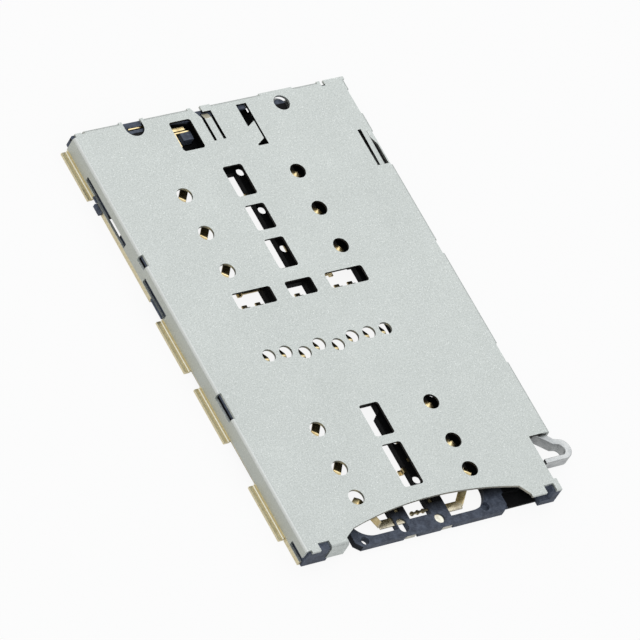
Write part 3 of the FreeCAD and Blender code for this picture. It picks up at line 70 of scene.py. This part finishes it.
camera_data = bpy.data.cameras.new("catalogue_camera")
camera_data.sensor_width = SENSOR_WIDTH
camera_data.lens = FOCAL_PIXELS / PICTURE_WIDTH * SENSOR_WIDTH
camera_data.clip_start = 0.01
camera_data.clip_end = 20.0
camera = bpy.data.objects.new("catalogue_camera", camera_data)
turn = Matrix((CAMERA_RIGHT, CAMERA_UP, CAMERA_BACK)).transposed().to_4x4()
camera.matrix_world = Matrix.Translation(CAMERA_PLACE) @ turn
bpy.context.scene.collection.objects.link(camera)
bpy.context.scene.camera = camera
print("lens in mm:", round(camera_data.lens, 1))

# %% [markdown]
# ## Shader arithmetic
#
# A material that varies over a surface is mostly arithmetic on positions and noise. The small class below
# wraps one socket, so that a sum or a product written in Python adds the Math node for it.

# %% Sockets that do arithmetic
class Field:
    """A shader value that can be added, multiplied and compared like a number."""

    def __init__(self, shading, socket):
        self.shading = shading
        self.socket = socket

    def maths(self, operation, *terms, clamp=False):
        settings = {"operation": operation, "use_clamp": clamp}
        return self.shading.node("ShaderNodeMath", settings, dict(enumerate(terms)))

    def __add__(self, other):
        return self.maths("ADD", self, other)

    __radd__ = __add__

    def __sub__(self, other):
        return self.maths("SUBTRACT", self, other)

    def __rsub__(self, other):
        return self.maths("SUBTRACT", other, self)

    def __mul__(self, other):
        return self.maths("MULTIPLY", self, other)

    __rmul__ = __mul__

    def __gt__(self, other):
        return self.maths("GREATER_THAN", self, other)

    def __lt__(self, other):
        return self.maths("LESS_THAN", self, other)

    def within(self, low, high):
        """1 between the two values and 0 outside them."""
        return (self > low) * (self < high)

    def rising(self, start, end):
        """0 below start, 1 above end and even in between."""
        return self.maths("MULTIPLY", self - start, 1.0 / (end - start), clamp=True)

    def capped(self):
        """The same value, but never above 1, for masks that may overlap."""
        return self.maths("MINIMUM", self, 1.0)


# %% [markdown]
# ## A node tree under construction
#
# A material and a world both hold a node tree, so one class serves them all. Its method called node adds
# any node, settings first, and the rest are short names for what the finishes use often.

# %% Node trees
class Shading:
    """The node tree of a material or a world."""

    def __init__(self, owner):
        owner.use_nodes = True
        self.owner = owner
        self.tree = owner.node_tree
        self.tree.nodes.clear()

    def feed(self, socket, value):
        """Link a field to a socket, or set a plain number or colour on it."""
        if isinstance(value, Field):
            self.tree.links.new(value.socket, socket)
        else:
            socket.default_value = value

    def node(self, kind, settings=None, values=None, output=0):
        """Add a node: its settings first, then what its sockets get."""
        made = self.tree.nodes.new(kind)
        for name, value in (settings or {}).items():
            setattr(made, name, value)
        for name, value in (values or {}).items():
            self.feed(made.inputs[name], value)
        return Field(self, made.outputs[output])

    def close(self, kind, shader):
        """Link the finished shader to the output of the tree."""
        output = self.tree.nodes.new(kind)
        self.tree.links.new(shader.socket, output.inputs["Surface"])
        return self.owner

    def axes(self, vector):
        return [self.node("ShaderNodeSeparateXYZ", {}, {0: vector}, axis) for axis in "XYZ"]

    def place(self):
        """Where a point lies on the socket, in millimetres, as a vector and as X, Y and Z."""
        metres = self.node("ShaderNodeTexCoord", output="Object")
        scaled = self.node("ShaderNodeVectorMath", {"operation": "SCALE"}, {0: metres, "Scale": 1.0 / MM})
        return scaled, self.axes(scaled)

    def facing(self):
        """How far the surface points along X, Y and Z, each from -1 to 1."""
        return self.axes(self.node("ShaderNodeNewGeometry", output="True Normal"))

    def noise(self, vector, scale, detail=2.0, roughness=0.5):
        values = {"Vector": vector, "Scale": scale, "Detail": detail, "Roughness": roughness}
        return self.node("ShaderNodeTexNoise", {}, values)

    def stretch(self, vector, along):
        """The same place, squeezed along each axis, which draws a pattern out into streaks."""
        return self.node("ShaderNodeVectorMath", {"operation": "MULTIPLY"}, {0: vector, 1: along})

    def mix(self, share, first, second):
        """One colour where share is 0, the other where it is 1."""
        values = {0: share, 6: first, 7: second}
        return self.node("ShaderNodeMix", {"data_type": "RGBA"}, values, output=2)

    def bump(self, height, depth, strength):
        values = {"Height": height, "Distance": depth, "Strength": strength}
        return self.node("ShaderNodeBump", {}, values)

    def surface(self, **values):
        """Close a material with one Principled shader. Base_Color stands for Base Color."""
        sockets = {name.replace("_", " "): value for name, value in values.items()}
        shader = self.node("ShaderNodeBsdfPrincipled", {}, sockets)
        return self.close("ShaderNodeOutputMaterial", shader)


def tone(red, green, blue):
    """A colour as a picture editor shows it, from 0 to 255, as the linear colour that a shader takes."""
    linear = []
    for value in (red, green, blue):
        share = value / 255.0
        linear.append(share / 12.92 if share <= 0.04045 else ((share + 0.055) / 1.055) ** 2.4)
    return (*linear, 1.0)


print("grey 205 is", round(tone(205, 205, 205)[0], 3), "in linear light")

# %% [markdown]
# ## Plated sheet
#
# The cover is thin stainless steel with a dull nickel plating, so it mirrors the room only as a soft
# grey. Up close it has a fine grain and tiny bright specks. The solder feet and the lowest edge of the
# left wall are gold plated, which is a mask on height rather than a second material, because it is one
# sheet. The cut edges of the windows are dark, partly as rough cut steel and partly as painted shade that
# is lighter where a window looks down at the lit board, and a mask of upright faces finds them. The
# underside of the cover inside the socket gets the same painted shade, the wall facing left a painted
# shade, and the fold at the top of the left wall and the fold at the root of each foot a painted highlight.

# %% Tones and places of the cover, in millimetres
SHEET_GREY = tone(220, 225, 222)
SHEET_SHADE = tone(186, 191, 188)
# Painted shade for the wall of the cover that faces left.
LEFT_WALL_SHADE = tone(188, 189, 176)
SHEET_SPECK = tone(246, 248, 246)
# A painted highlight along the fold between the top and the left wall.
FOLD_HIGHLIGHT = tone(250, 252, 250)
# Rough cut edges darkened further with painted shade; the same tone is the painted shade under the cover.
CUT_EDGE_AND_SHADE = tone(44, 40, 36)
TONGUE_END = tone(205, 198, 172)
MOUTH_EDGE = tone(150, 140, 122)
GOLD_PLATE = tone(242, 235, 208)
GOLD_DEEP = tone(214, 199, 156)
# A painted highlight in the fold at the root of each foot.
GOLD_FOLD_HIGHLIGHT = tone(255, 251, 230)

UNDER_THE_TOP = 1.16
MOUTH_REAR = -12.6
MOUTH_X = (-5.2, 6.6)
INSIDE_X = (-8.0, 9.3)
INSIDE_Y = (MOUTH_REAR, 13.2)
PIVOT_WINDOW_X = (4.4, 5.9)
PIVOT_WINDOW_FRONT = 11.8
LEFT_COLUMN_RIGHT = -3.1
LEFT_COLUMN_REAR = 9.0
WIDE_WINDOWS_Y = (0.3, 2.0)
MEMORY_ROW_Y = (-3.3, -1.6)
TONGUE_END_X = (0.02, 0.43)
TONGUE_END_Y = (12.60, 13.0)
LEFT_FOLD_RIGHT = -8.20
LEFT_FOLD_LOW = 1.22
GOLD_LINE = (0.34, 0.37)
GOLD_LEFT, GOLD_RIGHT = -7.9, 9.35
FOOT_LEFT, FOOT_RIGHT = -8.357, 9.777
FOOT_TOP = 0.155


def shaded_cut_edges(x, y, z, upright):
    """The cut edges of the windows: rough steel with painted shade, lighter where a window looks down at the
    bright board.
    """
    over_pivot = x.within(*PIVOT_WINDOW_X) * (y > PIVOT_WINDOW_FRONT)
    inside = x.within(*INSIDE_X) * y.within(*INSIDE_Y) * (1.0 - over_pivot)
    round_windows = (y < LEFT_COLUMN_REAR) * (1.0 - y.within(*WIDE_WINDOWS_Y))
    left_column = (x < LEFT_COLUMN_RIGHT) * round_windows
    memory_row = y.within(*MEMORY_ROW_Y)
    over_light = (left_column + memory_row).capped()
    return inside, inside * upright * (z > UNDER_THE_TOP) * (1.0 - over_light * 0.7)


def gold_places(sheet, where, x, z):
    """Below an uneven line on both side walls, and a painted highlight in the fold at the root of each foot.
    """
    line = (sheet.noise(where, 1.2, 2.0) - 0.5) * 0.05 + z
    beyond_walls = (x < GOLD_LEFT) + (x > GOLD_RIGHT)
    foot_fold_highlight = ((x < FOOT_LEFT) + (x > FOOT_RIGHT)) * (z > FOOT_TOP)
    return (1.0 - line.rising(*GOLD_LINE)) * beyond_walls, foot_fold_highlight


# %% Finish of the cover
def plated_sheet():
    sheet = Shading(bpy.data.materials.new("plated_sheet"))
    where, (x, y, z) = sheet.place()
    clouds = sheet.noise(where, 0.35, 3.0, 0.6)
    grain = sheet.noise(where, 9.0, 2.0, 0.6)
    sparkle = sheet.noise(where, 17.0, 1.0)
    specks = sheet.noise(where, 22.0, 0.0).rising(0.70, 0.78)
    side, _, up = sheet.facing()
    upright = 1.0 - up.maths("ABSOLUTE", up).rising(0.25, 0.5)
    # Painted shade on the cut edges, less of it where they look down at the lit board.
    inside, cut_edge_shade = shaded_cut_edges(x, y, z, upright)
    gold, foot_fold_highlight = gold_places(sheet, where, x, z)
    # Painted shade on the underside of the cover inside the socket.
    shaded_underside = inside * (up < -0.5)
    # Painted highlight along the fold at the top of the left wall.
    left_fold_highlight = (x < LEFT_FOLD_RIGHT) * (z > LEFT_FOLD_LOW)
    tongue_end = x.within(*TONGUE_END_X) * y.within(*TONGUE_END_Y) * (up > 0.5)
    mouth_edge = x.within(*MOUTH_X) * (y < MOUTH_REAR) * upright * (z > UNDER_THE_TOP)

    pattern = clouds * 0.12 + grain * 0.38 + sparkle * 0.50
    grey = sheet.mix(pattern.rising(0.35, 0.68), SHEET_SHADE, SHEET_GREY)
    for share, colour in (
        # Painted shade on faces that point left, and a painted highlight along the left fold.
        (specks * 0.6, SHEET_SPECK), ((side < -0.5) * 0.5, LEFT_WALL_SHADE), (left_fold_highlight * 0.5, FOLD_HIGHLIGHT),
        (cut_edge_shade, CUT_EDGE_AND_SHADE), (shaded_underside * 0.75, CUT_EDGE_AND_SHADE), (tongue_end * 0.8, TONGUE_END),
        (mouth_edge * 0.6, MOUTH_EDGE),
    ):
        grey = sheet.mix(share, grey, colour)
    plate = sheet.mix(grain.rising(0.2, 0.85), GOLD_DEEP, GOLD_PLATE)
    # Painted highlight in the fold at the root of each foot.
    plate = sheet.mix(foot_fold_highlight * 0.85, plate, GOLD_FOLD_HIGHLIGHT)
    return sheet.surface(
        Base_Color=sheet.mix(gold, grey, plate), Metallic=0.86 + gold * 0.14,
        Roughness=0.46 + grain * 0.10 - specks * 0.12 - gold * 0.14,
        Normal=sheet.bump(grain * 0.6 + sparkle * 0.5, 0.012 * MM, 0.8),
    )


sheet_material = plated_sheet()
print("cover:", len(sheet_material.node_tree.nodes), "shader nodes")

# %% [markdown]
# ## Black moulding
#
# The base is a glass-filled plastic that survives soldering. It is nearly black with a cold cast, dull,
# and faintly mottled where the glass comes near the surface. A low, uneven bump breaks up its
# reflections. The faces that stay outside the cover get painted light and those under it painted shade,
# so a mask of places mixes a lit and a shaded tone of the same plastic.

# %% Tones and places of the moulding, in millimetres
# Lit and shaded tones of one plastic: painted light outside the cover, painted shade under it.
PLASTIC_LIT = (tone(56, 62, 75), tone(90, 98, 113))
PLASTIC_SHADED = (tone(5, 5, 6), tone(13, 13, 16))
GLASS_FIBRE = tone(112, 119, 134)

BAR_X = (-5.0, 5.6)
BAR_FADE_Y = (-13.4, -12.7)
BAR_END_X = (-5.0, -4.2)
BAR_END_REAR = -13.3
CORNER_REAR = -13.2
CORNER_LEFT, CORNER_RIGHT = -5.0, 7.47
RIM_LOW = 1.05
REAR_RIM_FRONT = 12.7
LEFT_RIM_RIGHT = -8.0
LUG_RIGHT = -8.1
LUG_TOP = 0.9
POST_X = (-1.85, -0.85)
POST_Y = (11.6, 12.45)
POST_LOW = 0.5


def painted_light_places(x, y, z, side):
    """Where the moulding is painted lit: the front bar, the front corners, the rear rims, the lug and the
    switch's post, with painted shade on the bar's left end.
    """
    bar = x.within(*BAR_X) * (1.0 - y.rising(*BAR_FADE_Y))
    corners = (y < CORNER_REAR) * ((x < CORNER_LEFT) + (x > CORNER_RIGHT))
    rims = (z > RIM_LOW) * ((y > REAR_RIM_FRONT) + (x < LEFT_RIM_RIGHT))
    lug = (x < LUG_RIGHT) * (z < LUG_TOP)
    post = x.within(*POST_X) * y.within(*POST_Y) * (z > POST_LOW)
    # Painted shade on the left end face of the front bar.
    shaded_left_end = x.within(*BAR_END_X) * (y < BAR_END_REAR) * (side < -0.3)
    return (bar + corners + rims + lug + post).capped() * (1.0 - shaded_left_end * 0.85)


# %% Finish of the moulding
def moulded_plastic():
    plastic = Shading(bpy.data.materials.new("moulded_plastic"))
    where, (x, y, z) = plastic.place()
    side, _, _ = plastic.facing()
    mottle = plastic.noise(where, 3.0, 4.0, 0.65)
    fibres = plastic.noise(plastic.stretch(where, (6.0, 22.0, 22.0)), 1.0, 1.0).rising(0.55, 0.75)
    patches = mottle.rising(0.35, 0.7)
    lit = plastic.mix(fibres * 0.45, plastic.mix(patches, *PLASTIC_LIT), GLASS_FIBRE)
    shaded = plastic.mix(patches, *PLASTIC_SHADED)
    # Painted light outside the cover, painted shade under it and on the bar's left end.
    lit_share = painted_light_places(x, y, z, side)
    return plastic.surface(
        Base_Color=plastic.mix(lit_share, shaded, lit), Metallic=0.0, Specular_IOR_Level=0.22,
        Roughness=0.62 + mottle * 0.22 - lit_share * 0.20,
        Normal=plastic.bump(mottle * 0.7 + fibres * 0.3, 0.006 * MM, 0.7),
    )


plastic_material = moulded_plastic()
print("moulding:", len(plastic_material.node_tree.nodes), "shader nodes")

# %% [markdown]
# ## Gold contacts and the steel rod
#
# The contacts are stamped from a copper alloy and gold plated: a warm metal, smoother where the tool drew
# it along the strip. The tails under the front bar are a pale grey instead of gold. The rod and the
# lever are plain stainless steel, so they share one finish with fine scratches.

# %% Finishes of the contacts and the rod
def gold_strip():
    strip = Shading(bpy.data.materials.new("gold_strip"))
    where, (_, y, z) = strip.place()
    drawn = strip.noise(where, 12.0, 3.0, 0.6)
    worn = strip.noise(where, 2.5, 3.0, 0.6).rising(0.45, 0.75)
    gold = strip.mix(worn, tone(230, 211, 164), tone(176, 150, 98))
    tail_grey = strip.mix(worn, tone(206, 204, 192), tone(178, 174, 160))
    # Low tails at the front of the socket turn pale grey.
    pale_tails = (1.0 - y.rising(-13.6, -12.9)) * (z < 0.36)
    return strip.surface(
        Base_Color=strip.mix(pale_tails, gold, tail_grey), Metallic=1.0, Roughness=0.16 + drawn * 0.12,
        Normal=strip.bump(drawn, 0.001 * MM, 0.5),
    )


def rod_steel():
    steel = Shading(bpy.data.materials.new("rod_steel"))
    where, _ = steel.place()
    scratches = steel.noise(steel.stretch(where, (18.0, 2.0, 18.0)), 1.0, 3.0, 0.6)
    dull = steel.noise(where, 1.6, 3.0, 0.6).rising(0.4, 0.7)
    return steel.surface(
        Base_Color=steel.mix(dull, tone(192, 194, 194), tone(162, 165, 166)), Metallic=1.0,
        Roughness=0.26 + scratches * 0.2, Normal=steel.bump(scratches, 0.003 * MM, 0.5),
    )


gold_material = gold_strip()
steel_material = rod_steel()
print("contacts:", len(gold_material.node_tree.nodes), "and rod:", len(steel_material.node_tree.nodes))

# %% [markdown]
# ## Soft edges
#
# No stamped or moulded edge is a perfect corner, and the thin line of light along it is what makes a
# render look real. A CAD node is a bag of loose triangles, so the step is always the same: copy the mesh,
# merge its doubles, dissolve the lines that lie flat, and bevel what is left of the sharp edges.
# Weighting the normals by area keeps the large faces flat where they run into a fold. The copy then
# stands for the node.

# %% A copy of a node with soft edges
FLAT = math.radians(1.5)
SHARP = math.radians(32)
MERGE_DISTANCE = 0.0005 * MM


def merged_copy(node, name):
    """The node's mesh as one closed shell, with its flat triangles joined into faces."""
    mesh = nodes[node].data.copy()
    mesh.name = name
    form = bmesh.new()
    form.from_mesh(mesh)
    bmesh.ops.remove_doubles(form, verts=form.verts, dist=MERGE_DISTANCE)
    bmesh.ops.dissolve_limit(form, angle_limit=FLAT, verts=form.verts, edges=form.edges, delimit={"NORMAL"})
    form.to_mesh(mesh)
    form.free()
    return mesh


def soft_copy(node, name, material, body, width):
    """Copy a CAD node, soften its sharp edges by a width in millimetres and put the copy in its place."""
    mesh = merged_copy(node, name)
    mesh.materials.clear()
    mesh.materials.append(material)
    for face in mesh.polygons:
        face.use_smooth = True
        face.material_index = 0
    mesh.set_sharp_from_angle(angle=SHARP)
    piece = bpy.data.objects.new(name, mesh)
    bpy.context.scene.collection.objects.link(piece)
    bevel = piece.modifiers.new("soft_edges", "BEVEL")
    bevel.width = width * MM
    bevel.segments = 2
    bevel.limit_method = "ANGLE"
    bevel.angle_limit = SHARP
    bevel.use_clamp_overlap = True
    evened = piece.modifiers.new("even_normals", "WEIGHTED_NORMAL")
    evened.mode = "FACE_AREA"
    evened.weight = 100
    evened.keep_sharp = True
    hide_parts(node)
    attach(piece, body)
    return piece


cover = soft_copy("shell_cover", "folded_cover", sheet_material, "socket", 0.018)
base = soft_copy("base_housing", "moulded_base", plastic_material, "socket", 0.02)
rod = soft_copy("push_rod", "sliding_rod", steel_material, "rod", 0.03)
lever = soft_copy("eject_lever", "ejecting_lever", steel_material, "lever", 0.03)
for piece in (cover, base, rod, lever):
    print(piece.name, "faces:", len(piece.data.polygons))

# %% [markdown]
# ## Moulding beside the wall slots
#
# Below its two slots the left wall is covered by a thin lip of the moulding. The CAD model has no lip, so
# each one is a small box from an operator, set against the outside of the wall and given soft edges like
# the rest.

# %% Lips below the slots
WALL_OUTSIDE = -8.352
LIP_OUTSIDE = -8.43
LIP_LOW, LIP_HIGH = 0.31, 0.42
LIP_BEVEL = 0.015


def slot_lip(name, front, rear):
    """A box from the front to the rear along the left wall, in millimetres."""
    low = Vector((LIP_OUTSIDE, front, LIP_LOW)) * MM
    high = Vector((WALL_OUTSIDE, rear, LIP_HIGH)) * MM
    placed = Matrix.Translation((low + high) / 2) @ Matrix.Diagonal((*(high - low), 1))
    form = bmesh.new()
    bmesh.ops.create_cube(form, size=1.0, matrix=placed)
    bmesh.ops.bevel(
        form, geom=form.edges[:], offset=LIP_BEVEL * MM, segments=2, profile=0.5, affect="EDGES", material=-1,
    )
    mesh = bpy.data.meshes.new(name)
    form.to_mesh(mesh)
    form.free()
    mesh.materials.append(plastic_material)
    lip = bpy.data.objects.new(name, mesh)
    bpy.context.scene.collection.objects.link(lip)
    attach(lip, "socket")
    return lip


lips = [slot_lip("rear_slot_lip", 9.45, 9.86), slot_lip("front_slot_lip", 1.70, 3.00)]
print("lips:", [[round(v / MM, 2) for v in lip.dimensions] for lip in lips])

# %% [markdown]
# ## The contacts
#
# Each contact is a stamped strip, so it gets the same soft edges, only finer. The held end of the switch
# spring also stands up to the top of its slot, where the round notch at the rear shows it.

# %% Contacts
HELD_END_RIGHT = -3.5 * MM
HELD_END_LOW = 0.9 * MM
HELD_END_LIFT = 0.17 * MM


def show_held_end(strip):
    """Raise the top of the switch spring's held end."""
    for vertex in strip.data.vertices:
        if vertex.co.x < HELD_END_RIGHT and vertex.co.z > HELD_END_LOW:
            vertex.co.z += HELD_END_LIFT


contacts = {}
for node in sorted(nodes):
    if node.startswith(("sim_contact", "memory_contact", "switch")):
        contacts[node] = soft_copy(node, node + "_strip", gold_material, "socket", 0.012)
show_held_end(contacts["switch_spring"])
print("contacts:", len(contacts))

# %% [markdown]
# ## Floor and light
#
# Catalogue pictures of small parts are taken on a lit white table: the background is pure white and the
# light comes softly from all around. The floor and the world are white to the camera, and the world is a
# little dimmer near the horizon for everything else, which gives the folded walls their shade.

# %% Floor
WHITE = (1, 1, 1, 1)
FLOOR_DROP = 0.005 * MM

floor_mesh = bpy.data.meshes.new("white_table")
form = bmesh.new()
bmesh.ops.create_grid(form, x_segments=1, y_segments=1, size=2.0)
bmesh.ops.translate(form, verts=form.verts, vec=(0, 0, -FLOOR_DROP))
form.to_mesh(floor_mesh)
form.free()
floor = bpy.data.objects.new("white_table", floor_mesh)
bpy.context.scene.collection.objects.link(floor)

table = Shading(bpy.data.materials.new("lit_table"))
seen = table.node("ShaderNodeLightPath", output="Is Camera Ray")
through = table.node("ShaderNodeLightPath", output="Is Transmission Ray")
mirrored = table.node("ShaderNodeLightPath", output="Is Glossy Ray")
glow = table.node("ShaderNodeEmission", {}, {"Color": WHITE, "Strength": 1.0})
matt = table.node("ShaderNodeBsdfDiffuse", {}, {"Color": (0.80, 0.80, 0.80, 1)})
glowing = (seen + through) * 0.90 + mirrored * 0.35
lit = table.node("ShaderNodeMixShader", {}, {0: glowing, 1: matt, 2: glow})
floor_mesh.materials.append(table.close("ShaderNodeOutputMaterial", lit))
print("floor is", floor.dimensions.x, "m wide")

# %% World and lamps
HORIZON = (0.42, 0.42, 0.42, 1)
OVERHEAD = (0.78, 0.79, 0.80, 1)

world = bpy.data.worlds.new("white_room")
bpy.context.scene.world = world
room = Shading(world)
_, _, height = room.axes(room.node("ShaderNodeTexCoord", output="Generated"))
dim = room.mix(height.rising(0.0, 0.75), HORIZON, OVERHEAD)
sky = room.mix(room.node("ShaderNodeLightPath", output="Is Camera Ray"), dim, WHITE)
room.close("ShaderNodeOutputWorld", room.node("ShaderNodeBackground", {}, {"Color": sky}))


def soft_lamp(name, place, size, power):
    """A large square lamp that looks at the socket."""
    data = bpy.data.lights.new(name, "AREA")
    data.size = size
    data.energy = power
    lamp = bpy.data.objects.new(name, data)
    lamp.location = place
    lamp.rotation_euler = (-Vector(place)).to_track_quat("-Z", "Y").to_euler()
    bpy.context.scene.collection.objects.link(lamp)
    return lamp


lamps = [
    soft_lamp("key_lamp", (-0.25, -0.10, 0.45), 0.30, 0.45),
    soft_lamp("rear_lamp", (0.35, 0.30, 0.45), 0.35, 0.40),
]
bpy.context.scene.view_settings.view_transform = "Standard"
print("lamps:", [lamp.name for lamp in lamps])
